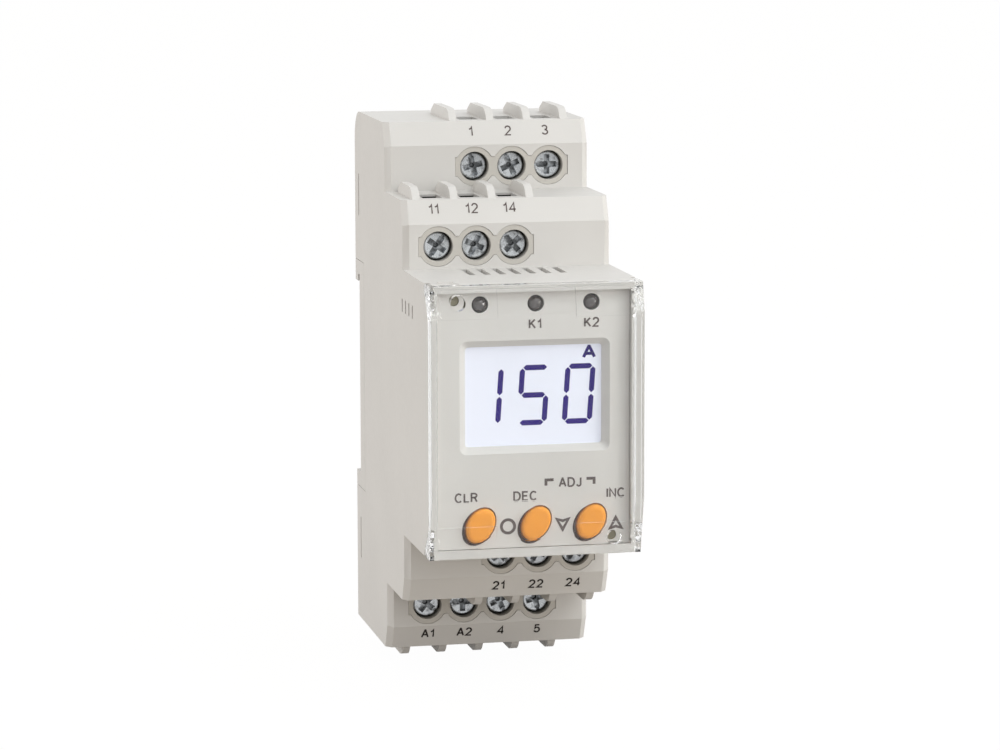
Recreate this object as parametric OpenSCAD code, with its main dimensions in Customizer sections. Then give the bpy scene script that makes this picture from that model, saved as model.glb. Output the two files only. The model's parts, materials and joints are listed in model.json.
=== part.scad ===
// Protection relay in a two-module housing for a 35 mm mounting rail.
// Housing coordinates: X to the right, Y towards the rail, Z up. The back plane is Y = 0, mid-height Z = 0.
// in_frame() then puts the origin on the rail's centre line, in the plane where the rail seats.

/* [Housing] */
// Width over the side walls
body_w = 35.8; // [34:0.1:42]
// Half height of the nose
nose_half = 22.8; // [22.4:0.1:24]
// Distance from the nose to the lobes of the front terminals
front_margin = 0.5; // [0.3:0.1:2]
// Distance from the front tier to the lobes of the rear terminals
rear_margin = 0.7; // [0.4:0.1:2]
// Depth from the back plane to the front of the base board
base_depth = 12.5; // [11.5:0.1:16]
// Distance from the face of the rear tier to the face of the front tier
front_reach = 16.6; // [14:0.1:20]
// Distance from the face of the front tier to the rim of the nose
nose_reach = 21.3; // [19:0.1:26]
// Wall thickness of the housing
wall = 1.5; // [1.4:0.1:1.8]
// Chamfer on the upright edges of the tiers
edge_chamfer = 1; // [0.5:0.1:1.4]
// Radius of the upper rear corner
back_r = 5; // [3:0.1:7]
// Height of a label strip
strip_h = 4; // [3.5:0.1:4.2]
// Set-back of a label strip's outer edge
strip_back = 1.9; // [1.2:0.1:2.4]
// Chamfer on the upper front edge of the nose
rim_chamfer = 0.5; // [0.4:0.1:0.8]
// Clearance between pieces that are put together
seat_gap = 0.1; // [0.05:0.01:0.15]

/* [Vents] */
// Distance from the front tier's face to the vent slots
vent_set = 1; // [0.5:0.1:2]
// Number of vent slots in the top and in the bottom of the nose
vent_count = 7; // [3:1:9]
// Pitch of the vent slots
vent_pitch = 2.6; // [2:0.1:3]
// Width of a vent slot
vent_w = 1.1; // [0.8:0.1:1.5]
// Length of a vent slot
vent_len = 8; // [6:0.1:12]
// Number of vent slits in a side wall
slit_count = 4; // [2:1:5]
// Pitch of the side slits
slit_pitch = 3.06; // [2.5:0.01:3.4]
// Width of a side slit
slit_w = 0.8; // [0.5:0.1:1]
// Length of a side slit
slit_len = 2.2; // [1.5:0.1:3]
// Distance from the front tier's face back to the first side slit
slit_set = 1.4; // [1:0.1:2]
// Distance from the nose's top down to the lower ends of the side slits
slit_drop = 7.2; // [6:0.1:9]
// Height of a snap window in a side wall
snap_h = 7.5; // [5:0.1:9]
// Width of a snap window
snap_w = 0.6; // [0.5:0.1:1]
// Depth from the back plane to a snap window
snap_depth = 3.4; // [3:0.1:4]
// Distance from the rear tier's end to the middle of a snap window
snap_drop = 15; // [13:0.1:17]

/* [Terminals] */
// Pitch of the terminal poles
pitch = 6.55; // [6.4:0.01:6.6]
// Distance from a side wall to the rear rows
rear_row_gap = 2.25; // [0.5:0.05:2.5]
// Distance from a side wall to the front rows
front_row_gap = 1.22; // [0.5:0.01:1.5]
// Distance from a tier's outer edge to its screws
screw_drop = 7.75; // [7.6:0.05:8]
// Diameter of a lobe of the terminal block's face
lobe_d = 6.75; // [6.6:0.05:7]
// Height of the neck between two lobes
neck_h = 3.3; // [2.5:0.1:4]
// Depth of a terminal block from the face to its board
block_depth = 18.5; // [16:0.1:21]
// Diameter of the screw hole
hole_d = 5.1; // [4.9:0.1:5.4]
// Diameter of the screw head
head_d = 4.5; // [4.2:0.1:4.7]
// Thickness of the screw head
head_h = 1.6; // [1.4:0.1:1.8]
// Depth of the screw head below the face
head_sink = 1.5; // [1.2:0.1:1.7]
// Diameter of the screw's shank
shank_d = 2.9; // [2.5:0.1:3]
// Width of a wire entry
wire_w = 3.4; // [3:0.1:3.6]
// Length of a wire entry
wire_len = 6; // [5.5:0.1:6.2]
// Wall thickness of a wire clamp
clamp_t = 1.2; // [0.8:0.1:1.4]

/* [Wire ribs] */
// Width of a rib
rib_w = 1.3; // [1:0.1:2]
// Height of a rib above its tier
rib_h = 2; // [1.5:0.1:2.4]
// Length of a rib on the rear tier
rear_rib_len = 16.8; // [14:0.1:18]
// Length of a rib on the front tier
front_rib_len = 13.4; // [12:0.1:13.8]
// Length of the curved front of a rib
rib_nose = 3.2; // [2.6:0.1:6]
// Length of the sloping rear of a rib
rib_tail = 3; // [1:0.1:4]

/* [Rail] */
// Height of the mounting rail
rail_h = 35; // [34.8:0.1:35.2]
// Thickness of the mounting rail
rail_t = 1; // [0.9:0.1:1.2]
// Depth of the rail recess
rail_recess = 4; // [3.8:0.1:4.4]
// Drop of the rail's centre line below mid-height
rail_drop = 1.2; // [0.8:0.1:1.6]
// Overlap of the fixed hook over the rail's edge
hook_overlap = 0.7; // [0.5:0.1:1]
// Overlap of the sliding clip over the rail's edge
clip_overlap = 0.8; // [0.5:0.1:1]
// Height of the hook above the rail
hook_h = 3.9; // [3:0.1:5]
// Height of the lugs below the rail
lug_h = 2.8; // [2.2:0.1:4]
// Width of the clip
clip_w = 10; // [8:0.1:12]
// Thickness of the clip
clip_t = 2.6; // [2.2:0.1:2.8]
// Travel of the clip when it is pulled
clip_travel = 3; // [2:0.1:3.5]
// Running clearance of the clip
clip_gap = 0.12; // [0.1:0.01:0.2]

/* [Facia] */
// Depth of the facia below the nose's rim
facia_set = 1.2; // [1.1:0.1:1.6]
// Thickness of the facia
facia_t = 1.5; // [1.2:0.1:1.8]
// Width of the display window
lcd_w = 23.2; // [20:0.1:24]
// Height of the display window
lcd_h = 16.7; // [14:0.1:18]
// Height of the window's middle above mid-height
lcd_z = 3.8; // [2:0.05:5]
// Width of the bevel round the window
lcd_bevel = 1.1; // [0.6:0.1:1.4]
// Place of the middle column of lamps and buttons
column_x = 0.4; // [0:0.1:1]
// Pitch of the columns of lamps and buttons
column_pitch = 9.4; // [9:0.1:9.8]
// Height of the lamps above mid-height
led_z = 19.2; // [18:0.1:19.4]
// Diameter of a lamp
led_d = 2.6; // [2:0.1:3]
// Distance of the buttons below mid-height
button_z = 17.4; // [17:0.1:17.8]
// Length of an oval button
button_len = 6; // [5.5:0.1:6.4]
// Width of an oval button
button_w = 4.4; // [4:0.1:4.8]
// Slope of a button's long axis
button_tilt = 55; // [45:1:80]
// Height of a button above the facia
button_rise = 0.9; // [0.8:0.1:1]
// Travel of a button
button_travel = 0.6; // [0.4:0.1:0.7]
// Rounding of a button's front edge
button_r = 0.7; // [0.4:0.1:1]
// Gap round a button
button_gap = 0.25; // [0.2:0.01:0.3]
// Place of the seal holes from the middle
seal_x = 13.3; // [12.5:0.1:13.6]
// Height of the seal holes from mid-height
seal_z = 20; // [19.5:0.1:20.1]
// Diameter of a seal pocket in the facia
seal_d = 1.8; // [1.5:0.1:2]
// Depth of a seal pocket in the facia
seal_depth = 1; // [0.6:0.1:1.1]
// Width of the slit for the seal's wire in the nose's rim
seal_slit_w = 1.8; // [1.4:0.1:2.4]
// Length of the slit for the seal's wire
seal_slit_len = 0.8; // [0.6:0.1:1]

/* [Clear cover] */
// Height of the cover over the nose's rim
cover_high = 2.8; // [2.6:0.1:4]
// Thickness of the cover's front and sides
cover_t = 1.2; // [1:0.1:1.3]
// Thickness of the cover's upper and lower walls
cover_rim_t = 0.8; // [0.7:0.1:1.2]
// Diameter of a seal hole in the cover
cover_hole_d = 2.5; // [2:0.1:2.6]
// Extra thickness of the cover's corner pads
pad_t = 0.2; // [0.1:0.05:0.3]
// Width between the corner pads
pad_space = 13.2; // [10:0.1:18]
// Height between the corner pads
pad_rise = 34.6; // [32:0.1:36]
// Gap between the cover's walls and the nose's rim
cover_gap = 0.3; // [0.25:0.01:0.4]
// Height of the sloping part at the top
top_slope_h = 5; // [4:0.1:6]
// Set-back of the cover's upper edge
top_slope_back = 1.3; // [0.8:0.1:1.5]
// Height of the sloping part at the bottom
low_slope_h = 9.8; // [8:0.1:12]
// Set-back of the cover's lower edge
low_slope_back = 2.3; // [1.5:0.1:2.4]
// Thickness of an ear
ear_t = 0.8; // [0.6:0.1:0.9]
// Height of an ear
ear_h = 5.3; // [4.5:0.1:6]
// Distance of the hinge axis behind the nose's rim
pivot_back = 2; // [1.8:0.1:2.2]
// Distance of the hinge axis below the nose's top
pivot_drop = 1; // [0.9:0.1:1.1]
// Diameter of a hinge pip
pip_d = 1.2; // [0.9:0.1:1.3]
// Running clearance of the hinge pips, on the radius
pip_gap = 0.05; // [0.02:0.01:0.08]
// Clearance round an ear
ear_gap = 0.15; // [0.12:0.01:0.2]

/* [Boards] */
// Thickness of a circuit board
board_t = 1.6; // [1.2:0.1:1.6]
// Depth of the display board behind the facia
display_set = 3.5; // [3.3:0.1:4]
// Width of an output relay
relay_w = 12.7; // [10:0.1:13]
// Length of an output relay
relay_len = 28; // [24:0.1:29]
// Gap between an output relay and the board in front of it
relay_gap = 1; // [0.5:0.1:3]
// Diameter of the buffer capacitor
capacitor_d = 10; // [8:0.1:10.4]
// Length of the buffer capacitor
capacitor_len = 20; // [15:0.1:22]

/* [Hidden] */
$fn = 48;
// Overshoot of a cut past the face that it opens
cut = 1;
// Overlap of two bodies that are fused
weld = 0.5;
// Clearance of pieces that are pressed together
press_gap = 0.05;

// Tiers and nose
rear_depth = base_depth + block_depth;
front_depth = rear_depth + front_reach;
nose_depth = front_depth + nose_reach;
row_h = screw_drop + lobe_d / 2;
front_half = nose_half + row_h + front_margin;
rear_half = front_half + row_h + rear_margin;
inner_half_w = body_w / 2 - wall;
strip_angle = atan(strip_back / strip_h);
// Where the inner face of a label strip meets the inner faces of its tier
strip_in_z = strip_h + wall * (1 / cos(strip_angle) - 1) / tan(strip_angle);
strip_in_y = (strip_h - wall) * tan(strip_angle) + wall / cos(strip_angle);
snap_z = rear_half - snap_drop;
// Depth of a plan that is tilted with a label strip, enough to reach the back
plan_reach = 2 * nose_depth;

// Rows of terminals: poles, place, depth, half height, turn about Y, rib length
long_row = 4;
short_row = 3;
rear_x = inner_half_w - long_row * pitch / 2 - rear_row_gap;
front_x = inner_half_w - short_row * pitch / 2 - front_row_gap;
upper_rear = [short_row, rear_x + pitch / 2, rear_depth, rear_half, 0, rear_rib_len];
upper_front = [short_row, -front_x, front_depth, front_half, 0, front_rib_len];
lower_front = [short_row, -front_x, front_depth, front_half, 180, front_rib_len];
lower_rear = [long_row, rear_x, rear_depth, rear_half, 180, rear_rib_len];
rows = [upper_rear, upper_front, lower_front, lower_rear];
function poles(row) = row[0];
function place(row) = row[1];
function depth(row) = row[2];
function half_height(row) = row[3];
function turn(row) = row[4];
function rib_len(row) = row[5];

// Terminal block, measured from its tier's face and from its screw axis
face_sink = 0.1;
neck_over = 0.2;
block_y = wall + seat_gap;
block_low = lobe_d / 2 + seat_gap;
block_high = screw_drop - strip_in_z - seat_gap;
chimney_y = strip_in_y + 3 * seat_gap;
chimney_top = screw_drop - wall - seat_gap;
chimney_wall = 1;
head_y = head_sink + head_h;
head_wall = 1.2;
head_bevel = 0.2;
cross_len = 3.4;
cross_w = 1;
cross_depth = 1.1;
cross_cone = [1.5, 0.6];
cross_cone_h = 1.8;
slot_w = 0.6;
slot_depth = 0.7;
// Turn of each screw as it was tightened, and what the front rows add to it
screw_turns = [76, 66, 0, 38];
front_turn = 48;
clamp_rim = 0.5;
clamp_cheek_t = 0.6;
clamp_half_h = 2.8;
clamp_y = head_y + head_wall;
clamp_len = wire_len + 2 * clamp_rim;
clamp_w = wire_w + 2 * clamp_cheek_t;
clamp_end = clamp_y + clamp_len;
wire_y = clamp_y + clamp_rim;
pin_t = 1;
shank_reach = 2;
shank_end = clamp_y + clamp_t + shank_reach;

// Rib, measured from its tier's face
rib_set = 0.8;
rib_y = strip_back + rib_set;
rib_nose_r = (rib_nose * rib_nose + rib_h * rib_h) / (2 * rib_h);

// Rail recess and rear cover
rail_play = 0.6;
rail_slack = 0.3;
lug_gap = 0.5;
hook_z = rail_h / 2 - rail_drop - hook_overlap;
groove_z = rail_h / 2 - rail_drop + rail_play;
groove_t = rail_t + rail_slack;
rail_low_z = -rail_h / 2 - rail_drop;
lug_z = rail_low_z - lug_gap;
cheek_top = hook_z + hook_h;
cheek_low = lug_z - lug_h;
floor_t = 2;
cheek_rim = 2.5;
cheek_wall = 1;
cheek_depth = rail_recess + floor_t + cheek_rim;
plate_t = 2;
plate_half_w = inner_half_w - seat_gap;
plate_top = rear_half - back_r - seat_gap;
plate_low = -rear_half + wall + seat_gap;
board_post_d = 4;
board_post_inset = 4.4;
board_post_z = (cheek_top + plate_top) / 2;
snap_arm_t = 1.2;
snap_tooth = 0.8;

// Rail clip and its spring
guide_w = 3;
guide_t = 1.8;
clip_lip_t = 1.3;
clip_flange = 1;
clip_tail = 1.4;
clip_bevel_h = 1.2;
clip_bevel_t = 0.9;
clip_top = rail_low_z + clip_overlap;
clip_low = -rear_half - clip_tail;
flange_top = lug_z - clip_flange;
// The flange meets the housing's lower wall when the clip has been pulled all the way
flange_low = -rear_half + wall + clip_travel + clip_gap;
eye_w = 4;
eye_h = 1.6;
eye_set = 1.2;
window_w = 2.6;
window_set = 9;
window_bar = 2.65;
window_top = lug_z - window_set;
window_low = clip_low + eye_set + eye_h + window_bar;
spring_post = 1.6;
spring_post_gap = 0.2;
spring_low = window_low + spring_post_gap + spring_post;
spring_r = 0.85;
spring_wire_r = 0.2;
spring_turns = 7;

// Facia, display and lamps
facia_depth = nose_depth - facia_set;
facia_back = facia_depth - facia_t;
facia_half_w = inner_half_w - seat_gap;
facia_half_h = nose_half - wall - seat_gap;
ledge_w = 0.7;
ledge_t = 1.5;
lcd_x = 0.25;
lcd_margin = 0.9;
lcd_bevel_depth = 0.9;
lcd_size = [lcd_w + 2 * lcd_margin, lcd_h + 2 * lcd_margin];
glass_t = 1.2;
window_r = 0.6;
skin = 0.02;
board_front = facia_back - display_set;
board_gap = 0.3;
post_d = 2.2;
post_clear = 0.2;
post_x = inner_half_w - ledge_w - post_d / 2 - post_clear;
post_off = lcd_size[1] / 2 + post_d / 2 + post_clear;
led_gap = 0.1;
led_rise = 0.4;
led_flange = 0.2;
led_flange_t = 0.8;
led_centre = facia_depth - led_d / 2 + led_rise;

// Buttons and their switches
oval_sides = 48;
// Steps of the rounding of a button's front edge, as angles
button_steps = [0, 30, 60, 90];
flange_t = 0.6;
flange_over = 0.3;
flange_grow = button_gap + flange_over;
flange_front = facia_back - seat_gap;
cap_base = flange_front - flange_t / 2;
stem_d = 3;
stem_len = 0.3;
plunger_d = 2;
plunger_gap = 0.06;
plunger_rest = 0.1;
plunger_top = flange_front - flange_t - stem_len;
switch_w = 4.5;
switch_t = 1.6;

// Clear cover
cover_rear = nose_depth + cover_gap;
cover_depth = cover_rear + cover_high;
top_slope_z = nose_half - top_slope_h;
low_slope_z = -nose_half + low_slope_h;
pivot_y = -nose_depth + pivot_back;
pivot_z = nose_half - pivot_drop;
pip_len = wall - ear_t - ear_gap;
swing_room = 1.6;
// Slit for the seal's wire, behind the nose's rim, and the lip behind it
seal_slit_set = 0.7;
seal_lip = [2.6, 0.8, 0.3];
seal_lip_set = 2;
seal_lip_shift = 1.2;

// Boards and what they carry
mid_front = base_depth + front_reach;
display_back = board_front - board_t;
board_half_w = inner_half_w - board_gap;
base_half_h = rear_half - wall - board_gap;
mid_half_h = min(front_half - wall, rear_half - screw_drop - block_low) - board_gap;
display_half_h = facia_half_h - board_gap;
header_w = 2.5;
header_len = 20;
header_inset = 2.4;
rear_header_z = 24;
front_header_z = 8;
relay_space = 2;
relay_r = 0.8;
relay_z = -6;
relay_tall = mid_front - board_t - base_depth - relay_gap;
core_size = [18, 19];
core_t = 14;
bobbin_size = [13, 14];
bobbin_len = 18;
transformer_x = -3;
transformer_z = -10;
capacitor_inset = 1.9;
capacitor_x = inner_half_w - capacitor_d / 2 - capacitor_inset;
capacitor_z = 9;

colour_housing = [0.84, 0.83, 0.81];
colour_cream = [0.88, 0.86, 0.82];
colour_facia = [0.8, 0.79, 0.77];
colour_clear = [0.8, 0.85, 0.88, 0.35];
colour_display = [0.9, 0.92, 0.97];
colour_lamp = [0.3, 0.29, 0.28];
colour_orange = [0.95, 0.63, 0.3];
colour_black = [0.16, 0.16, 0.17];
colour_white = [0.93, 0.93, 0.9];
colour_zinc = [0.72, 0.72, 0.7];
colour_board = [0.13, 0.36, 0.2];
colour_core = [0.35, 0.33, 0.3];
colour_sleeve = [0.1, 0.12, 0.2];

module in_frame() translate([0, rail_recess, rail_drop]) children();
// Extrudes a section drawn as (Y, Z) across the width
module across(w) rotate([90, 0, 90]) linear_extrude(w, center = true) children();
// Extrudes an outline drawn as (X, Z) backwards from a depth to a lesser depth
module along(from, to) translate([0, -to, 0]) rotate([90, 0, 0]) linear_extrude(from - to) children();
// Extrudes an outline drawn as (X, Z) backwards from a row's face
module behind_face(from, to) translate([0, from, 0]) rotate([-90, 0, 0]) linear_extrude(to - from) children();
// A box between two corners
module span(low, high) translate(low) cube(high - low);
// A box between two depths, centred on the axis along Y
module bar(w, h, from, to) span([-w / 2, from, -h / 2], [w / 2, to, h / 2]);
// A button's oval, as (X, Z), with its long axis sloping up to the right
module button_oval(grow) rotate(button_tilt) polygon([for (k = [0 : oval_sides - 1])
    let (a = 360 * k / oval_sides) [(button_len / 2 + grow) * cos(a), (button_w / 2 + grow) * sin(a)]]);
// A rectangle with round corners
module rounded(w, h, r) {
    square([w - 2 * r, h], center = true);
    square([w, h - 2 * r], center = true);
    for (sx = [-1, 1], sz = [-1, 1]) translate([sx * (w / 2 - r), sz * (h / 2 - r)]) circle(r);
}
// What the upper and lower halves of the housing share, turned about Y
module both_ways() for (a = [0, 180]) rotate([0, a, 0]) children();
module both_sides() for (side = [0, 1]) mirror([side, 0, 0]) children();
module at_row(row) rotate([0, turn(row), 0])
    translate([place(row), -depth(row), half_height(row) - screw_drop]) children();
module at_poles(n) for (i = [0 : n - 1]) let ($pole = i)
    translate([(i - (n - 1) / 2) * pitch, 0, 0]) children();
module at_column(i, z) translate([column_x + (i - 1) * column_pitch, 0, z]) children();
module at_seals() both_ways() translate([-seal_x, 0, seal_z]) children();
module at_lcd() translate([lcd_x, 0, lcd_z]) children();

module tier_section(half, depth) polygon([[0, -half], [0, half], [-depth + strip_back, half],
    [-depth, half - strip_h], [-depth, -half + strip_h], [-depth + strip_back, -half]]);
module tier_hollow(half, depth) polygon([[cut, -half + wall], [cut, half - wall],
    [-depth + strip_in_y, half - wall], [-depth + wall, half - strip_in_z],
    [-depth + wall, -half + strip_in_z], [-depth + strip_in_y, -half + wall]]);
// Plan of a tier with chamfered front edges
module tier_plan(depth) for (side = [0, 1]) mirror([side, 0]) polygon([[-weld, 0], [body_w / 2, 0],
    [body_w / 2, -depth + edge_chamfer], [body_w / 2 - edge_chamfer, -depth], [-weld, -depth]]);
// The same chamfers along the ends of an upper label strip
module strip_plan(half, depth) translate([0, -depth, half - strip_h]) rotate([-strip_angle, 0, 0])
    translate([0, plan_reach, 0]) linear_extrude(4 * half, center = true) tier_plan(plan_reach);
module tier(half, depth) intersection() {
    across(body_w) tier_section(half, depth);
    linear_extrude(2 * half, center = true) tier_plan(depth);
    strip_plan(half, depth);
    mirror([0, 0, 1]) strip_plan(half, depth);
}
// What the round upper rear corner takes away from a section
module back_corner(inset) translate([-back_r, rear_half - back_r]) difference() {
    square([back_r + 2 * cut, back_r + cut]);
    circle(back_r - inset);
}
module nose_section() polygon([[0, -nose_half], [0, nose_half], [-nose_depth + rim_chamfer, nose_half],
    [-nose_depth, nose_half - rim_chamfer], [-nose_depth, -nose_half]]);
module hollow() {
    across(2 * inner_half_w) {
        difference() {
            tier_hollow(rear_half, rear_depth);
            back_corner(wall);
        }
        tier_hollow(front_half, front_depth);
    }
    span([-inner_half_w, -nose_depth - cut, -nose_half + wall],
        [inner_half_w, -front_depth + 2 * wall, nose_half - wall]);
}
// Lobed face of a terminal block, as (X, Z)
module lobes(n, grow) {
    at_poles(n) circle(d = lobe_d + 2 * grow);
    square([n * pitch + neck_over + 2 * grow, neck_h + 2 * grow], center = true);
}
module rib_section(len) intersection() {
    translate([rib_y, screw_drop - weld]) square([len, rib_h + weld]);
    union() {
        translate([rib_y + rib_nose, screw_drop + rib_h - rib_nose_r]) circle(rib_nose_r);
        polygon([[rib_y + rib_nose, screw_drop - weld], [rib_y + rib_nose, screw_drop + rib_h],
            [rib_y + len - rib_tail, screw_drop + rib_h], [rib_y + len, screw_drop + rib_h / 3],
            [rib_y + len, screw_drop - weld]]);
    }
}
module ribs(n, len) for (i = [0 : n]) translate([(i - n / 2) * pitch, 0, 0]) across(rib_w) rib_section(len);
// Side view of an upper ear, as (Y, Z): a gusset that ends round the hinge axis
module ear_section(grow) {
    translate([pivot_y, pivot_z]) circle(pivot_drop + grow);
    polygon([[-cover_rear - weld, nose_half + grow], [pivot_y, nose_half + grow],
        [pivot_y + pivot_drop + grow, pivot_z], [-cover_rear + grow, nose_half - ear_h - grow],
        [-cover_rear - weld, nose_half - ear_h - grow]]);
}
module ear_recess() both_sides() translate([body_w / 2 + (cut - ear_t - ear_gap) / 2, 0, 0])
    across(ear_t + ear_gap + cut) {
        ear_section(ear_gap);
        // Room for the ear's upper edge as the cover swings up
        translate([-cover_rear, pivot_z]) square([cover_rear + pivot_y + swing_room, pivot_drop + cut]);
    }
module nose_vents() for (i = [0 : vent_count - 1])
    translate([(i - (vent_count - 1) / 2) * vent_pitch - vent_w / 2, 0, nose_half - wall - cut])
        translate([0, -front_depth - vent_set - vent_len, 0]) cube([vent_w, vent_len, wall + 2 * cut]);
module side_slits() for (i = [0 : slit_count - 1])
    translate([-body_w / 2 - cut, -front_depth + slit_set - i * slit_pitch, nose_half - slit_drop])
        translate([0, -slit_w / 2, 0]) cube([wall + 2 * cut, slit_w, slit_len]);
module snap_windows() for (side = [-1, 1])
    translate([-body_w / 2 - cut, -snap_depth - snap_w, side * snap_z - snap_h / 2])
        cube([body_w + 2 * cut, snap_w, snap_h]);
module seal_slit() translate([-seal_x - seal_slit_w / 2, -nose_depth + seal_slit_set, nose_half - wall - cut])
    cube([seal_slit_w, seal_slit_len, wall + 2 * cut]);
module seal_lip() translate([-seal_x - seal_lip_shift - seal_lip[0] / 2, -nose_depth + seal_lip_set,
    nose_half - weld]) cube(seal_lip + [0, 0, weld]);
module wire_entry(from, to) span([-wire_w / 2, wire_y, from], [wire_w / 2, wire_y + wire_len, to]);

module front_housing() color(colour_housing) in_frame() difference() {
    union() {
        difference() {
            union() {
                difference() {
                    tier(rear_half, rear_depth);
                    across(body_w + 2 * cut) back_corner(0);
                }
                tier(front_half, front_depth);
                across(body_w) nose_section();
            }
            hollow();
        }
        for (row = rows) at_row(row) ribs(poles(row), rib_len(row));
        both_ways() seal_lip();
        // Ledges that the facia rests on
        both_sides() span([inner_half_w - ledge_w, -facia_back, -nose_half + wall - skin],
            [inner_half_w + skin, -facia_back + ledge_t, nose_half - wall + skin]);
    }
    for (row = rows) at_row(row) {
        behind_face(-cut, wall + seat_gap / 2) lobes(poles(row), press_gap);
        at_poles(poles(row)) wire_entry(screw_drop - wall - cut, screw_drop + weld);
    }
    both_ways() {
        nose_vents();
        side_slits();
        seal_slit();
    }
    snap_windows();
    // Openings in the side walls for the cheeks of the rear cover
    span([-body_w, -cheek_depth, cheek_low], [body_w, cut, cheek_top]);
    ear_recess();
    mirror([0, 0, 1]) ear_recess();
    both_sides() translate([body_w / 2 - wall / 2 + seat_gap, pivot_y, pivot_z]) rotate([0, 90, 0])
        cylinder(d = pip_d + 2 * pip_gap, h = wall + 2 * seat_gap, center = true);
    // Notch in the lower wall for the clip
    span([-clip_w / 2 - 2 * clip_gap, -clip_t - 3 * clip_gap, -rear_half - cut],
        [clip_w / 2 + 2 * clip_gap, cut, -rear_half + wall + cut]);
}

// Arms of the rear cover whose teeth sit in the side windows of the housing
module snap_arms() both_sides() for (side = [-1, 1]) translate([0, 0, side * snap_z]) {
    half_h = snap_h / 2 - seat_gap;
    span([plate_half_w - snap_arm_t, -snap_depth - snap_w, -half_h], [plate_half_w, -plate_t + weld, half_h]);
    span([plate_half_w - weld, -snap_depth - snap_w + seat_gap, -half_h],
        [plate_half_w + snap_tooth, -snap_depth - seat_gap, half_h]);
}
module rear_cover() color(colour_housing) in_frame() {
    way_half_w = clip_w / 2 + clip_gap;
    way_floor = -clip_t - clip_gap;
    difference() {
        union() {
            span([-plate_half_w, -plate_t, plate_low], [plate_half_w, 0, plate_top]);
            span([-body_w / 2, -cheek_depth + seat_gap, cheek_low + seat_gap],
                [body_w / 2, 0, cheek_top - seat_gap]);
            span([-clip_w / 2 - guide_w, -clip_t - guide_t, plate_low],
                [clip_w / 2 + guide_w, 0, cheek_low + weld]);
            // Posts that carry the base board
            for (side = [-1, 1]) both_sides()
                translate([inner_half_w - board_post_inset, 0, side * board_post_z])
                    along(base_depth - board_t, 0) circle(d = board_post_d);
            snap_arms();
        }
        // Hollow in front of the rail channel's floor
        span([-plate_half_w + cheek_wall, -cheek_depth - cut, lug_z + floor_t / 2],
            [plate_half_w - cheek_wall, -rail_recess - floor_t, hook_z]);
        span([-body_w, -rail_recess, lug_z], [body_w, cut, hook_z]);
        span([-body_w, -rail_recess, hook_z - cut], [body_w, -rail_recess + groove_t, groove_z]);
        // T-shaped way for the clip
        span([-way_half_w, way_floor, plate_low - cut], [way_half_w, cut, lug_z + cut]);
        span([-way_half_w - clip_flange, way_floor, plate_low - cut],
            [way_half_w + clip_flange, -clip_lip_t, lug_z + cut]);
    }
    // Post inside the clip's window, which the spring pushes against
    span([-window_w / 2 + spring_post_gap, way_floor - weld, spring_low - spring_post],
        [window_w / 2 - spring_post_gap, -spring_post_gap, spring_low]);
}
module rail_clip() color(colour_black) in_frame() difference() {
    union() {
        across(clip_w) polygon([[-clip_t, clip_low], [0, clip_low], [0, clip_top - clip_bevel_h],
            [-clip_bevel_t, clip_top], [-clip_t, clip_top]]);
        span([-clip_w / 2 - clip_flange, -clip_t, flange_low],
            [clip_w / 2 + clip_flange, -clip_lip_t - clip_gap, flange_top]);
    }
    span([-window_w / 2, -clip_t - cut, window_low], [window_w / 2, cut, window_top]);
    // Eye for a screwdriver
    span([-eye_w / 2, -clip_t - cut, clip_low + eye_set], [eye_w / 2, cut, clip_low + eye_set + eye_h]);
}
// A wire swept round a helix with flat rings of points
module coil(r, wire_r, low, high, turns) {
    sides = 6;
    rings = turns * 12;
    rise = (high - low - 2 * wire_r) / rings;
    point = function(k, s) let (a = 360 * turns * k / rings, b = 360 * s / sides, q = r + wire_r * cos(b))
        [q * cos(a), q * sin(a), low + wire_r + rise * k + wire_r * sin(b)];
    side_face = function(k, s, t) [k * sides + s, (k + 1) * sides + s, (k + 1) * sides + t, k * sides + t];
    polyhedron(points = [for (k = [0 : rings], s = [0 : sides - 1]) point(k, s)],
        faces = concat([[for (s = [0 : sides - 1]) s]], [[for (s = [sides - 1 : -1 : 0]) rings * sides + s]],
            [for (k = [0 : rings - 1], s = [0 : sides - 1]) side_face(k, s, (s + 1) % sides)]));
}
module clip_spring() color(colour_zinc) in_frame() translate([0, -clip_t / 2, 0])
    coil(spring_r, spring_wire_r, spring_low, window_top, spring_turns);

module facia() color(colour_facia) in_frame() {
    front = facia_depth + cut;
    back = facia_back - cut;
    bevel_end = facia_depth - lcd_bevel_depth;
    difference() {
        along(facia_depth, facia_back) square([2 * facia_half_w, 2 * facia_half_h], center = true);
        at_lcd() {
            along(front, back) rounded(lcd_w, lcd_h, window_r);
            hull() {
                along(facia_depth + skin, facia_depth)
                    rounded(lcd_w + 2 * lcd_bevel, lcd_h + 2 * lcd_bevel, 2 * window_r, $fn = 32);
                along(bevel_end, bevel_end - skin) rounded(lcd_w, lcd_h, window_r, $fn = 32);
            }
        }
        for (i = [0 : 2]) {
            at_column(i, led_z) along(front, back) circle(d = led_d + 2 * led_gap);
            at_column(i, -button_z) along(front, back) button_oval(button_gap);
        }
        at_seals() along(front, facia_depth - seal_depth) circle(d = seal_d);
    }
    for (sx = [-1, 1], sz = [-1, 1]) translate([sx * post_x, 0, lcd_z + sz * post_off])
        along(facia_back, board_front) circle(d = post_d);
}
module lcd_panel() color(colour_display) in_frame() at_lcd()
    along(facia_back, facia_back - glass_t) square(lcd_size, center = true);
module lcd_backlight() color(colour_white) in_frame() at_lcd()
    along(facia_back - glass_t, board_front) square(lcd_size, center = true);
module led(i) color(colour_lamp) in_frame() at_column(i, led_z) {
    along(led_centre, board_front) circle(d = led_d);
    along(board_front + led_flange_t, board_front) circle(d = led_d + 2 * led_flange);
    translate([0, -led_centre, 0]) sphere(d = led_d);
}
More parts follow.
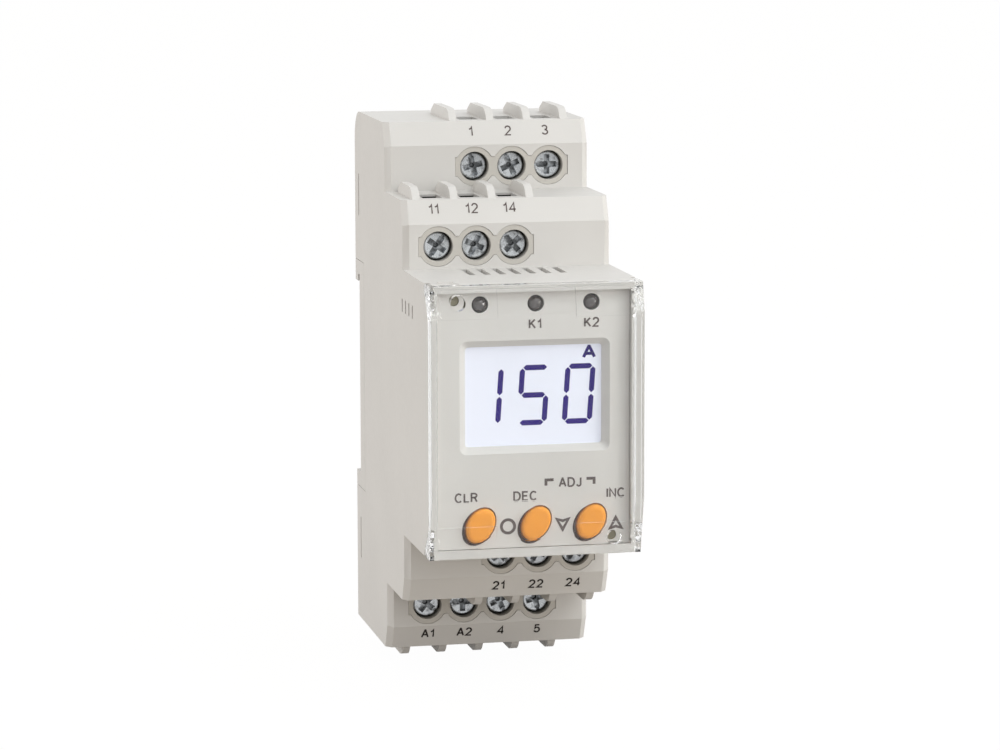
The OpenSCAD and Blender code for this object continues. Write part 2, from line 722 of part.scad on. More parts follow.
module button(i) color(colour_orange) in_frame() at_column(i, -button_z) {
    hull() for (a = button_steps) along(facia_depth + button_rise - button_r * (1 - sin(a)), cap_base)
        button_oval(button_r * (cos(a) - 1));
    along(flange_front, flange_front - flange_t) button_oval(flange_grow);
    along(flange_front - flange_t, plunger_top) circle(d = stem_d);
}
module plunger(i) color(colour_black) in_frame() at_column(i, -button_z)
    along(plunger_top, board_front + button_travel + plunger_rest) circle(d = plunger_d);
module tact_switches() color(colour_black) in_frame() for (i = [0 : 2]) at_column(i, -button_z)
    along(board_front + switch_t, board_front) difference() {
        square(switch_w, center = true);
        circle(d = plunger_d + 2 * plunger_gap);
    }

module cover_outside() polygon([[-cover_rear, nose_half], [-cover_depth + top_slope_back, nose_half],
    [-cover_depth, top_slope_z], [-cover_depth, low_slope_z], [-cover_depth + low_slope_back, -nose_half],
    [-cover_rear, -nose_half]]);
// Inside of the cover, parallel to its outside
module cover_inside(front_t) {
    front = -cover_depth + front_t;
    rear = -cover_rear + low_slope_back;
    high = nose_half - cover_rim_t;
    top_back = top_slope_back * (1 - cover_rim_t / top_slope_h);
    low_back = low_slope_back * (1 - cover_rim_t / low_slope_h);
    polygon([[rear, high], [front + top_back, high], [front, top_slope_z], [front, low_slope_z],
        [front + low_back, -high], [rear, -high]]);
}
module clear_cover() color(colour_clear) in_frame() {
    inner_w = body_w - 2 * cover_t;
    difference() {
        union() {
            difference() {
                across(body_w) cover_outside();
                across(inner_w) cover_inside(cover_t + pad_t);
                across(pad_space) cover_inside(cover_t);
                across(inner_w) intersection() {
                    cover_inside(cover_t);
                    square([2 * cover_depth, pad_rise], center = true);
                }
            }
            both_sides() translate([(body_w - ear_t) / 2, 0, 0]) across(ear_t) {
                ear_section(0);
                mirror([0, 1]) ear_section(0);
            }
        }
        at_seals() along(cover_depth + cut, cover_rear - cut) circle(d = cover_hole_d);
    }
    // Hinge pips
    both_sides() translate([body_w / 2 - ear_t - pip_len / 2, pivot_y, pivot_z]) rotate([0, 90, 0])
        cylinder(d = pip_d, h = pip_len + 2 * press_gap, center = true);
}

module terminals(row) color(colour_cream) in_frame() at_row(row) {
    n = poles(row);
    half = n * pitch / 2;
    difference() {
        union() {
            behind_face(face_sink, block_y + weld) lobes(n, 0);
            span([-half, block_y, -block_low], [half, block_depth, block_high]);
            span([-half, chimney_y, block_high - weld], [half, clamp_end + chimney_wall, chimney_top]);
        }
        at_poles(n) {
            behind_face(-cut, head_y + press_gap) circle(d = hole_d);
            behind_face(head_y, clamp_y + weld) circle(d = shank_d + 2 * seat_gap);
            bar(clamp_w + 2 * seat_gap, 2 * (clamp_half_h + press_gap), clamp_y - press_gap,
                clamp_end + press_gap);
            wire_entry(0, chimney_top + cut);
            bar(pin_t + 2 * press_gap, pin_t + 2 * press_gap, clamp_end - cut, block_depth + cut);
        }
    }
}
// A cone along Y, from its front diameter to its rear one
module cone(from, to, front_d, rear_d) translate([0, from, 0]) rotate([-90, 0, 0])
    cylinder(d1 = front_d, d2 = rear_d, h = to - from);
// Combined cross and slot recess of a screw
module recess() {
    bar(cross_len, cross_w, head_sink - cut, head_sink + cross_depth);
    bar(cross_w, cross_len, head_sink - cut, head_sink + cross_depth);
    bar(2 * head_d, slot_w, head_sink - cut, head_sink + slot_depth);
    cone(head_sink - skin, head_sink + cross_cone_h, cross_cone[0], cross_cone[1]);
}
module screws(row) color(colour_zinc) in_frame() at_row(row) at_poles(poles(row)) difference() {
    union() {
        cone(head_sink, head_sink + head_bevel, head_d - 2 * head_bevel, head_d);
        behind_face(head_sink + head_bevel, head_y) circle(d = head_d);
        behind_face(head_y - weld, shank_end) circle(d = shank_d);
    }
    rotate([0, screw_turns[$pole] + (depth(row) > rear_depth ? front_turn : 0), 0]) recess();
}
module clamps(row) color(colour_zinc) in_frame() at_row(row) at_poles(poles(row)) {
    difference() {
        bar(clamp_w, 2 * clamp_half_h, clamp_y, clamp_end);
        bar(wire_w, 2 * (clamp_half_h + cut), clamp_y + clamp_t, clamp_end - clamp_t);
        behind_face(clamp_y - cut, clamp_y + clamp_t + cut) circle(d = shank_d + 2 * press_gap);
    }
    bar(pin_t, pin_t, clamp_end - weld, block_depth);
}

module board(front, half_h) color(colour_board) in_frame()
    along(front, front - board_t) square([2 * board_half_w, 2 * half_h], center = true);
module header(x, z, from, to, w, h) color(colour_black) in_frame() translate([x, 0, z])
    along(from, to) square([w, h], center = true);
module output_relay(side) color(colour_white) in_frame()
    translate([side * (relay_w + relay_space) / 2, 0, relay_z])
        along(base_depth + relay_tall, base_depth) rounded(relay_w, relay_len, relay_r);
module supply_transformer() color(colour_core) in_frame() translate([transformer_x, 0, transformer_z]) {
    core_set = (bobbin_len - core_t) / 2;
    along(mid_front + core_set + core_t, mid_front + core_set) square(core_size, center = true);
    along(mid_front + bobbin_len, mid_front) square(bobbin_size, center = true);
}
module buffer_capacitor() color(colour_sleeve) in_frame() translate([capacitor_x, 0, capacitor_z])
    along(mid_front + capacitor_len, mid_front) circle(d = capacitor_d);
module rear_header() header(0, rear_header_z, mid_front - board_t, base_depth, header_len, header_w);
module front_header()
    header(header_inset - inner_half_w, front_header_z, display_back, mid_front, header_w, header_len);

front_housing();
rear_cover();
rail_clip();
clip_spring();
facia();
clear_cover();
lcd_panel();
lcd_backlight();
led(0);  // led_on
led(1);  // led_alarm_1
led(2);  // led_alarm_2
button(0);  // reset_button
button(1);  // down_button
button(2);  // up_button
plunger(0);  // reset_plunger
plunger(1);  // down_plunger
plunger(2);  // up_plunger
tact_switches();
board(board_front, display_half_h);  // display_board
terminals(upper_rear);  // upper_rear_terminals
terminals(upper_front);  // upper_front_terminals
terminals(lower_front);  // lower_front_terminals
terminals(lower_rear);  // lower_rear_terminals
screws(upper_rear);  // upper_rear_screws
screws(upper_front);  // upper_front_screws
screws(lower_front);  // lower_front_screws
screws(lower_rear);  // lower_rear_screws
clamps(upper_rear);  // upper_rear_clamps
clamps(upper_front);  // upper_front_clamps
clamps(lower_front);  // lower_front_clamps
clamps(lower_rear);  // lower_rear_clamps
board(base_depth, base_half_h);  // base_board
board(mid_front, mid_half_h);  // mid_board
rear_header();
front_header();
output_relay(-1);  // output_relay_1
output_relay(1);  // output_relay_2
supply_transformer();
buffer_capacitor();
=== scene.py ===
"""Protection relay: finishes, print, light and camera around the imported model."""
import json
import math

import bpy
from mathutils import Matrix, Vector


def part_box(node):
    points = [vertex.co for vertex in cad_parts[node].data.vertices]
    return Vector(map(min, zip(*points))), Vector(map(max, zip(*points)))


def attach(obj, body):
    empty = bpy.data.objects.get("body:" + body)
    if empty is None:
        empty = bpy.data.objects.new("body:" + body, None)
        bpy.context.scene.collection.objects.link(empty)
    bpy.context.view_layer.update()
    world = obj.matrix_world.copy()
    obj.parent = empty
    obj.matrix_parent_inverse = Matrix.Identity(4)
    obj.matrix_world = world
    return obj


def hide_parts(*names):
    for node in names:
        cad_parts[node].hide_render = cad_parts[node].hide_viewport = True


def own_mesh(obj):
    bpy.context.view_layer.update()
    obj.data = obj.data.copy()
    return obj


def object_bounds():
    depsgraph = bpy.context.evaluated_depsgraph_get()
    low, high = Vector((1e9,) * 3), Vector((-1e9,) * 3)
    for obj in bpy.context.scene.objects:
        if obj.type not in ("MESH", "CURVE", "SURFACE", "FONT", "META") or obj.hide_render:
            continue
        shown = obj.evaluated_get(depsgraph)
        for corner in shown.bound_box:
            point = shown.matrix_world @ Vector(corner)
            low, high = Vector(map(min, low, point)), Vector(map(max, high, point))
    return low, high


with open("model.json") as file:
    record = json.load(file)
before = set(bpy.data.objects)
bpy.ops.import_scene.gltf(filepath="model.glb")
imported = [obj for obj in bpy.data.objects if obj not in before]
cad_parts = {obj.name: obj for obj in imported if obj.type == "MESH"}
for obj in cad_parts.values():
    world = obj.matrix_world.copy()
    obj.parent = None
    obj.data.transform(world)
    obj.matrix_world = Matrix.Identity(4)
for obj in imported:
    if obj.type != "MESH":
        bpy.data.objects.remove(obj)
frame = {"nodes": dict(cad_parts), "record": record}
cad_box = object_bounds()
scene = bpy.context.scene
MM = 0.001

# Sizes on the housing, in metres, as the solids have them
STRIP_H = 4 * MM
STRIP_BACK = 1.9 * MM
SCREW_DROP = 7.75 * MM
FACE_SINK = 0.1 * MM
MIDDLE_Z = 1.2 * MM
WIRE_END = 10.8 * MM

# Rows of terminals: their marks, 1 for the upper and -1 for the lower rows, the marks' shift from their
# screws along X and up the strip in millimetres, and the width of their lines
ROWS = {
    "upper_rear": (("1", "2", "3"), 1, (-0.45, 0.3), 0.24 * MM),
    "upper_front": (("11", "12", "14"), 1, (-0.55, 0.55), 0.24 * MM),
    "lower_front": (("21", "22", "24"), -1, (-0.25, 0.25), 0.3 * MM),
    "lower_rear": (("A1", "A2", "4", "5"), -1, (0.15, 0.55), 0.3 * MM),
}


# Shader helpers
def fill(tree, socket, value):
    """Links an input to another socket, or sets it to a value."""
    if isinstance(value, bpy.types.NodeSocket):
        tree.links.new(value, socket)
    else:
        socket.default_value = value


def set_inputs(tree, node, **inputs):
    """Links or sets a node's inputs, whose names are written with _ for a space."""
    for key, value in inputs.items():
        fill(tree, node.inputs[key.replace("_", " ")], value)


def node_maker(tree):
    """A function that adds a node to a tree and links or sets its inputs."""
    def add(kind, **inputs):
        node = tree.nodes.new(kind)
        set_inputs(tree, node, **inputs)
        return node

    return add


def new_material(name):
    """A material with its node tree, its Principled shader and a maker of nodes."""
    mat = bpy.data.materials.new(name)
    mat.use_nodes = True
    tree = mat.node_tree
    return mat, tree, tree.nodes["Principled BSDF"], node_maker(tree)


def end_in_mix(tree, add, factor, first, second):
    """Makes a mix of two shaders the surface of a material."""
    mix = add("ShaderNodeMixShader", Fac=factor)
    tree.links.new(first, mix.inputs[1])
    tree.links.new(second, mix.inputs[2])
    tree.links.new(mix.outputs["Shader"], tree.nodes["Material Output"].inputs["Surface"])


def combine(tree, operation, a, b=0.0):
    """The result of a math node on a socket and another socket or a number. MULTIPLY_ADD adds 1."""
    node = tree.nodes.new("ShaderNodeMath")
    node.operation = operation
    tree.links.new(a, node.inputs[0])
    fill(tree, node.inputs[1], b)
    node.inputs[2].default_value = 1.0
    return node.outputs[0]


def unset(tree, value):
    """1 where a flag or a count is 0, and 0 otherwise."""
    return combine(tree, "LESS_THAN", value, 0.5)


def distance(tree, value, place):
    """How far a coordinate is from a place."""
    return combine(tree, "ABSOLUTE", combine(tree, "SUBTRACT", value, place))


def scaled(tree, colour, factor):
    """A colour times a factor."""
    node = tree.nodes.new("ShaderNodeVectorMath")
    node.operation = "SCALE"
    tree.links.new(colour, node.inputs[0])
    tree.links.new(factor, node.inputs["Scale"])
    return node.outputs["Vector"]


def object_coords(add):
    """A place in the object's own frame, in metres."""
    return add("ShaderNodeTexCoord").outputs["Object"]


def axes(add, vector):
    """The X, Y and Z outputs of a vector."""
    return add("ShaderNodeSeparateXYZ", Vector=vector).outputs


def noise(add, coords, scale, detail, **inputs):
    """A noise texture's value at a place."""
    node = add("ShaderNodeTexNoise", Vector=coords, Scale=scale, Detail=detail, **inputs)
    return node.outputs["Fac"]


# The limits between which most of a noise's values lie, and their middle
NOISE_SPAN = (0.3, 0.7)
NOISE_MEAN = 0.5


def mottle(add, coords, colour, scale, spread):
    """A colour that wanders by a small share, for moulded plastic or metal."""
    ramp = add("ShaderNodeValToRGB", Fac=noise(add, coords, scale, detail=3.0))
    stops = zip(ramp.color_ramp.elements, NOISE_SPAN, (1 - spread, 1 + spread))
    for stop, position, factor in stops:
        stop.color = [min(1, c * factor) for c in colour] + [1]
        stop.position = position
    return ramp.outputs["Color"]


def varied(add, coords, low, high, scale):
    """A value that wanders between two limits, for roughness."""
    least, most = NOISE_SPAN
    span = add("ShaderNodeMapRange", Value=noise(add, coords, scale, detail=4.0), From_Min=least,
               From_Max=most, To_Min=low, To_Max=high)
    return span.outputs["Result"]


def grain(add, coords, scale, depth, strength):
    """A fine bump, such as a spark-eroded mould leaves."""
    height = noise(add, coords, scale, detail=2.0, Roughness=0.6)
    return add("ShaderNodeBump", Height=height, Distance=depth, Strength=strength).outputs["Normal"]


def painted_depth_shade(tree, add, coords, colour, plane, stops, glint_jitter=0.0):
    """Painted shade: a colour times a factor that follows the depth behind a plane. Jitter adds painted
    glints.
    """
    reach = stops[-1][0]
    place = axes(add, coords)["Y"]
    if glint_jitter:
        wander = combine(tree, "SUBTRACT", noise(add, coords, scale=1100.0, detail=1.0), NOISE_MEAN)
        place = combine(tree, "ADD", place, combine(tree, "MULTIPLY", wander, glint_jitter))
    depth = add("ShaderNodeMapRange", Value=place, From_Min=plane, From_Max=plane + reach)
    ramp = add("ShaderNodeValToRGB", Fac=depth.outputs["Result"])
    elements = ramp.color_ramp.elements
    while len(elements) < len(stops):
        elements.new(0.5)
    for element, (at, factor) in zip(elements, stops):
        element.position = at / reach
        element.color = (factor, factor, factor, 1)
    return scaled(tree, colour, ramp.outputs["Color"])


# Painted shade on the far faces of the wire entries: how near to their plane a point is on one, the
# normal's
# Y below which it looks to the front, and the share of the tone that the painted shade takes away
END_NEAR = 0.1 * MM
END_FACING = -0.8
END_SHADE_LOSS = 0.96


def with_painted_entry_shade(tree, add, coords, colour, ends):
    """Near-black painted shade on the far faces of entries, at places along Y and below heights."""
    facing = axes(add, add("ShaderNodeNewGeometry").outputs["Normal"])["Y"]
    place = axes(add, coords)
    height = distance(tree, place["Z"], MIDDLE_Z)
    inside = None
    for plane, top in ends:
        near = combine(tree, "LESS_THAN", distance(tree, place["Y"], plane), END_NEAR)
        here = combine(tree, "MULTIPLY", near, combine(tree, "LESS_THAN", height, top))
        inside = combine(tree, "MAXIMUM", inside, here) if inside else here
    dark = combine(tree, "MULTIPLY", inside, combine(tree, "LESS_THAN", facing, END_FACING))
    return scaled(tree, colour, combine(tree, "MULTIPLY_ADD", dark, -END_SHADE_LOSS))


# Finishes
def plastic(name, colour, rough=(0.45, 0.55), texture=0.35, spread=0.02, specular=0.4, recess_shade=None,
            ends=None):
    """Moulded plastic with a faint mottle and a fine surface texture."""
    mat, tree, shader, add = new_material(name)
    coords = object_coords(add)
    tone = mottle(add, coords, colour, scale=60.0, spread=spread)
    # Painted shade in a recess, where one is given
    if recess_shade:
        tone = painted_depth_shade(tree, add, coords, tone, *recess_shade)
    # Painted shade on the far faces of entries, where these are given
    if ends:
        tone = with_painted_entry_shade(tree, add, coords, tone, ends)
    set_inputs(tree, shader, Base_Color=tone, Roughness=varied(add, coords, *rough, scale=900.0),
               Normal=grain(add, coords, scale=5200.0, depth=0.03 * MM, strength=texture),
               Specular_IOR_Level=specular)
    return mat


def ink(name, colour, rough=(0.5, 0.6), specular=0.1):
    """Flat print or shade, without a surface texture."""
    return plastic(name, colour, rough, texture=0.0, spread=0.05, specular=specular)


def zinc(name, colour, metallic=1.0, recess_shade=None):
    """Zinc plate with turning marks."""
    mat, tree, shader, add = new_material(name)
    coords = object_coords(add)
    tone = mottle(add, coords, colour, scale=500.0, spread=0.05)
    # Painted shade in a recess, where one is given
    if recess_shade:
        tone = painted_depth_shade(tree, add, coords, tone, *recess_shade)
    set_inputs(tree, shader, Base_Color=tone,
               Roughness=varied(add, coords, low=0.22, high=0.34, scale=900.0),
               Normal=grain(add, coords, scale=1500.0, depth=0.02 * MM, strength=0.3), Metallic=metallic)
    return mat


# Clear plastic: its own tint, and the tint of the light that passes it
CLEAR_TINT = (0.985, 0.99, 0.99, 1)
CLEAR_SHADE = (0.95, 0.955, 0.955, 1)
# Fluted corners of the clear cover: where they begin aside of and above or below its middle
FLUTES_ASIDE = 15.9 * MM
FLUTES_UP = 17 * MM
FLUTE_DEPTH = 0.5 * MM


def clear_plastic(name):
    """Polished clear plastic that lets the lamps through, with fluted corners that glitter."""
    mat, tree, shader, add = new_material(name)
    coords = object_coords(add)
    place = axes(add, coords)
    aside = combine(tree, "ABSOLUTE", place["X"])
    height = distance(tree, place["Z"], MIDDLE_Z)
    corner = combine(tree, "MULTIPLY", combine(tree, "GREATER_THAN", aside, FLUTES_ASIDE),
                     combine(tree, "GREATER_THAN", height, FLUTES_UP))
    flutes = add("ShaderNodeBump", Height=noise(add, coords, scale=700.0, detail=2.0), Strength=corner,
                 Distance=FLUTE_DEPTH)
    set_inputs(tree, shader, Base_Color=CLEAR_TINT, Transmission_Weight=1.0, IOR=1.49,
               Roughness=varied(add, coords, low=0.0, high=0.035, scale=160.0),
               Normal=flutes.outputs["Normal"])
    shadow = add("ShaderNodeLightPath").outputs["Is Shadow Ray"]
    through = add("ShaderNodeBsdfTransparent", Color=CLEAR_SHADE)
    end_in_mix(tree, add, shadow, shader.outputs["BSDF"], through.outputs["BSDF"])
    return mat


def display(name, colour, strength):
    """A backlit display glass with a slight unevenness of its light."""
    mat, tree, shader, add = new_material(name)
    coords = object_coords(add)
    glow = mottle(add, coords, colour, scale=90.0, spread=0.012)
    set_inputs(tree, shader, Base_Color=glow, Emission_Color=glow, Emission_Strength=strength,
               Roughness=varied(add, coords, low=0.12, high=0.2, scale=300.0))
    return mat


def board(name):
    """Solder mask with the shadow of copper under it."""
    mat, tree, shader, add = new_material(name)
    coords = object_coords(add)
    cells = add("ShaderNodeTexBrick", Vector=coords, Scale=180.0, Color1=(0.015, 0.11, 0.045, 1),
                Color2=(0.02, 0.15, 0.06, 1), Mortar=(0.01, 0.08, 0.035, 1))
    set_inputs(tree, shader, Base_Color=cells.outputs["Color"],
               Roughness=varied(add, coords, low=0.3, high=0.45, scale=500.0))
    return mat


# Heights from the middle up to which the far faces of the upper rows' wire entries get painted shade
PAINTED_SHADE_BELOW = {"upper_rear": 45.75 * MM, "upper_front": 34.05 * MM}
SHADED_WIRE_ENDS = [(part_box(row + "_terminals")[0].y - FACE_SINK + WIRE_END, height)
             for row, height in PAINTED_SHADE_BELOW.items()]
PLASTICS = {
    # The housing's plastic has near-black painted shade on the far faces of the wire entries
    "housing_plastic": {"colour": (0.656, 0.638, 0.61), "ends": SHADED_WIRE_ENDS},
    "facia_plastic": {"colour": (0.685, 0.666, 0.638), "rough": (0.5, 0.6), "texture": 0.2},
    "button_plastic": {"colour": (1.0, 0.375, 0.026), "rough": (0.4, 0.5), "texture": 0.1, "specular": 0.2},
    "black_plastic": {"colour": (0.022, 0.022, 0.024), "rough": (0.4, 0.55)},
    "white_plastic": {"colour": (0.78, 0.78, 0.75), "rough": (0.35, 0.45)},
    "lamp_plastic": {"colour": (0.045, 0.035, 0.032), "rough": (0.04, 0.08), "texture": 0.02,
                     "specular": 1.0},
    "transformer_wrap": {"colour": (0.1, 0.085, 0.06), "rough": (0.5, 0.7)},
    "capacitor_sleeve": {"colour": (0.012, 0.014, 0.03), "rough": (0.25, 0.35)},
}
MATERIALS = {name: plastic(name, **look) for name, look in PLASTICS.items()}
MATERIALS["zinc"] = zinc("zinc", (0.3, 0.31, 0.33))
MATERIALS["spring_steel"] = zinc("spring_steel", (0.5, 0.5, 0.5))
MATERIALS["clear_plastic"] = clear_plastic("clear_plastic")
MATERIALS["display_glass"] = display("display_glass", (0.62, 0.64, 0.72), strength=0.45)
MATERIALS["circuit_board"] = board("circuit_board")
PRINT_GREY = ink("print_grey", (0.125, 0.1, 0.095))
PRINT_DARK = ink("print_dark", (0.035, 0.03, 0.028))
PRINT_INDIGO = ink("print_indigo", (0.018, 0.001, 0.19), specular=0.0)
# Painted shade in the seal pockets
SEAL_POCKET_SHADE = ink("seal_pocket_shade_olive", (0.25, 0.235, 0.18), rough=(0.6, 0.7))
# Painted shadow at the lower left of the buttons' seats
PAINTED_SEAT_SHADOW = ink("seat_shadow_brown", (0.05, 0.026, 0.018), rough=(0.6, 0.7))

# The rows' own finishes, and the painted shade by which their tone falls off behind the terminals' faces
# and the screws' heads: depth in metres, then the factor. The jitter paints glints on the screws' heads
CREAM = (0.545, 0.52, 0.475)
BRIGHT_ZINC = (0.80, 0.84, 0.88)
HOLE_PAINTED_SHADE = ((0, 1), (0.5 * MM, 1), (1.6 * MM, 0.5), (3 * MM, 0.3), (5 * MM, 0.04))
HEAD_PAINTED_SHADE = ((0, 1), (0.1 * MM, 1), (0.6 * MM, 0.7), (1.3 * MM, 0.25))
HEAD_GLINT_JITTER = 4.5 * MM


def row_materials():
    """Finishes of the terminals and the screws, by node, since the painted shade follows the depth in each
    row.
    """
    own = {}
    for row in ROWS:
        face, heads = (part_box(row + part)[0].y for part in ("_terminals", "_screws"))
        own[row + "_terminals"] = plastic("cream_" + row, CREAM, rough=(0.4, 0.5), texture=0.2,
                                          recess_shade=(face, HOLE_PAINTED_SHADE))
        own[row + "_screws"] = zinc("zinc_" + row, BRIGHT_ZINC, metallic=0.6,
                                    recess_shade=(heads, HEAD_PAINTED_SHADE, HEAD_GLINT_JITTER))
    return own


def dress_nodes():
    """Gives each node its own finish, where it has one, or its slot's."""
    slots = {part["node"]: part["material_slot"] for part in frame["record"]["subparts"]}
    own = row_materials()
    for name, node in frame["nodes"].items():
        node.data.materials.clear()
        node.data.materials.append(own[name] if name in own else MATERIALS[slots[name]])


# Edge radii of the moulded and cut pieces, the angle under which faces are one flat face, and the angle
# from which an edge is rounded
EDGES = {
    "front_housing": 0.28 * MM,
    "rear_cover": 0.15 * MM,
    "facia": 0.08 * MM,
    "clear_cover": 0.14 * MM,
    "rail_clip": 0.15 * MM,
}
FLAT_ANGLE = math.radians(0.5)
EDGE_ANGLE = math.radians(35)


def soften_edges():
    """Rounds the edges of the pieces where they show."""
    for name, width in EDGES.items():
        node = frame["nodes"][name]
        flat = node.modifiers.new("merge_flat_faces", "DECIMATE")
        flat.decimate_type = "DISSOLVE"
        flat.angle_limit = FLAT_ANGLE
        bevel = node.modifiers.new("edges", "BEVEL")
        bevel.width = width
        bevel.segments = 2
        bevel.limit_method = "ANGLE"
        bevel.angle_limit = EDGE_ANGLE
        bevel.harden_normals = True


def new_object(name, data):
    """An object in the scene."""
    obj = bpy.data.objects.new(name, data)
    scene.collection.objects.link(obj)
    return obj


def put(obj, body, material):
    """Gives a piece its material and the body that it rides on."""
    obj.data.materials.clear()
    obj.data.materials.append(material)
    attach(obj, body)


# Print and sheets of painted shade: how far they lie off their surface, and their thickness
PRINT_LIFT = 0.015 * MM
PRINT_THICK = 0.02 * MM


def surface(origin, up, normal):
    """A matrix whose X runs along the print, Y up it and Z out of the surface."""
    z = Vector(normal).normalized()
    y = Vector(up).normalized()
    x = y.cross(z)
    m = Matrix((x, y, z)).transposed().to_4x4()
    m.translation = Vector(origin) + z * PRINT_LIFT
    return m


def front_place(node, x, z):
    """A place on the front of a node, in millimetres from the housing's middle."""
    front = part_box(node)[0].y
    return surface((x * MM, front, MIDDLE_Z + z * MM), (0, 0, 1), (0, -1, 0))


def plate(polygon):
    """Points and faces of a flat polygon with the print's thickness."""
    n = len(polygon)
    points = [(x, y, z) for z in (0, PRINT_THICK) for x, y in polygon]
    faces = [list(reversed(range(n))), list(range(n, 2 * n))]
    faces += [[i, (i + 1) % n, n + (i + 1) % n, n + i] for i in range(n)]
    return points, faces


def band(sides, closed=False):
    """Points and faces of a band through pairs of points, left and right, with the print's thickness."""
    n = len(sides)
    points = [(x, y, z) for pair in sides for z in (0, PRINT_THICK) for x, y in pair]
    faces = []
    for i in range(n if closed else n - 1):
        a, b = 4 * i, 4 * ((i + 1) % n)
        faces += [[a + 3, b + 3, b + 2, a + 2], [a, b, b + 1, a + 1],
                  [a, a + 2, b + 2, b], [a + 1, b + 1, b + 3, a + 3]]
    if not closed:
        end = 4 * (n - 1)
        faces += [[0, 1, 3, 2], [end + 1, end, end + 2, end + 3]]
    return points, faces


def flat_mesh(name, shapes, place, material):
    """A printed piece, or a sheet of painted shade, on a surface, from the points and faces of its shapes.
    """
    mesh = bpy.data.meshes.new(name)
    points, faces = [], []
    for more_points, more_faces in shapes:
        faces += [[len(points) + i for i in face] for face in more_faces]
        points += more_points
    mesh.from_pydata(points, [], faces)
    obj = new_object(name, mesh)
    obj.matrix_world = place
    put(obj, "relay", material)


# Strokes: the share of a line's width within which points are one, and the least cosine of a mitre
SAME_POINT = 0.01
LEAST_MITRE = 0.5


def stroke(points, width, closed=True):
    """A mitred line through points, half its width on either side."""
    least = SAME_POINT * width
    pts = [Vector(p) for i, p in enumerate(points) if i == 0 or math.dist(p, points[i - 1]) > least]
    n = len(pts)
    sides = []
    for i, p in enumerate(pts):
        before = p - pts[i - 1] if closed or i else pts[1] - p
        after = pts[(i + 1) % n] - p if closed or i < n - 1 else before
        a, b = (Vector((-d.y, d.x)).normalized() for d in (before, after))
        mitre = (a + b).normalized()
        reach = width / 2 / max(LEAST_MITRE, mitre.dot(a))
        sides.append((p + mitre * reach, p - mitre * reach))
    return band(sides, closed)


def arc(x, y, rx, ry, start, end, count=10):
    """Points on part of an ellipse, from one angle to another in degrees."""
    angles = [math.radians(start + (end - start) * i / count) for i in range(count + 1)]
    return [(x + rx * math.cos(a), y + ry * math.sin(a)) for a in angles]


def ring(radius, count=32):
    """Points on a circle."""
    turn = 2 * math.pi / count
    return [(radius * math.cos(i * turn), radius * math.sin(i * turn)) for i in range(count)]


# Plain stroked letters on a grid one unit high: the width, then the lines
GLYPHS = {
    "1": (0.34, [[(0, 0.72), (0.2, 0.8), (0.3, 1), (0.3, 0)]]),
    "2": (0.6, [arc(0.3, 0.71, 0.28, 0.29, 170, -35) + [(0, 0), (0.6, 0)]]),
    "3": (0.6, [arc(0.29, 0.76, 0.26, 0.24, 160, -90), arc(0.29, 0.26, 0.3, 0.26, 90, -160)]),
    "4": (0.64, [[(0.48, 0), (0.48, 1), (0, 0.28), (0.64, 0.28)]]),
    "5": (0.6, [[(0.54, 1), (0.1, 1), (0.04, 0.5)] + arc(0.28, 0.33, 0.3, 0.33, 130, -160)]),
    "A": (0.7, [[(0, 0), (0.33, 1), (0.37, 1), (0.7, 0)], [(0.12, 0.34), (0.58, 0.34)]]),
    "C": (0.7, [arc(0.36, 0.5, 0.36, 0.5, 42, 318, 16)]),
    "D": (0.68, [[(0, 0), (0, 1), (0.3, 1)] + arc(0.3, 0.5, 0.37, 0.5, 90, -90) + [(0, 0)]]),
    "E": (0.56, [[(0.56, 0), (0, 0), (0, 1), (0.56, 1)], [(0, 0.52), (0.5, 0.52)]]),
    "I": (0, [[(0, 0), (0, 1)]]),
    "J": (0.42, [[(0.42, 1)] + arc(0.21, 0.22, 0.21, 0.22, 0, -170)]),
    "K": (0.62, [[(0, 0), (0, 1)], [(0.58, 1), (0, 0.38)], [(0.2, 0.58), (0.62, 0)]]),
    "L": (0.5, [[(0, 1), (0, 0), (0.5, 0)]]),
    "N": (0.62, [[(0, 0), (0, 1), (0.62, 0), (0.62, 1)]]),
    "R": (0.6, [[(0, 0), (0, 1), (0.32, 1)] + arc(0.32, 0.76, 0.26, 0.24, 90, -90) + [(0, 0.52)],
                [(0.36, 0.52), (0.6, 0)]]),
}
LETTER_GAP = 0.3


def letters(name, words, place, height, line, material, wide=1.0):
    """Printed words about a place, with capitals this high, lines of this width and letters this wide."""
    unit = height - line
    width = sum(GLYPHS[c][0] for c in words) + LETTER_GAP * (len(words) - 1)
    shapes = []
    left = -width / 2
    for c in words:
        advance, lines = GLYPHS[c]
        for points in lines:
            path = [((left + x) * wide * unit, (y - 0.5) * unit) for x, y in points]
            shapes.append(stroke(path, line, closed=False))
        left += advance + LETTER_GAP
    flat_mesh(name, shapes, place, material)


LABEL_CAP = 1.85 * MM


def label_rows():
    """Numbers on the label strips, over or under each screw."""
    for row, (marks, way, (shift_x, shift_up), line) in ROWS.items():
        tone = PRINT_GREY if way > 0 else PRINT_DARK
        low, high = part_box(row + "_screws")
        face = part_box(row + "_terminals")[0].y - FACE_SINK
        head_r = (high.z - low.z) / 2
        middle_z = (low.z + high.z) / 2 + way * (SCREW_DROP - STRIP_H / 2)
        up = Vector((0, way * STRIP_BACK, STRIP_H)).normalized()
        normal = (0, -STRIP_H, way * STRIP_BACK)
        step = (high.x - low.x - 2 * head_r) / (len(marks) - 1)
        for i, mark in enumerate(marks):
            middle = Vector((low.x + head_r + i * step + shift_x * MM, face + STRIP_BACK / 2, middle_z))
            place = surface(middle + up * shift_up * MM, up, normal)
            letters(f"label_{row}_{i + 1}", mark, place, LABEL_CAP, line, tone)


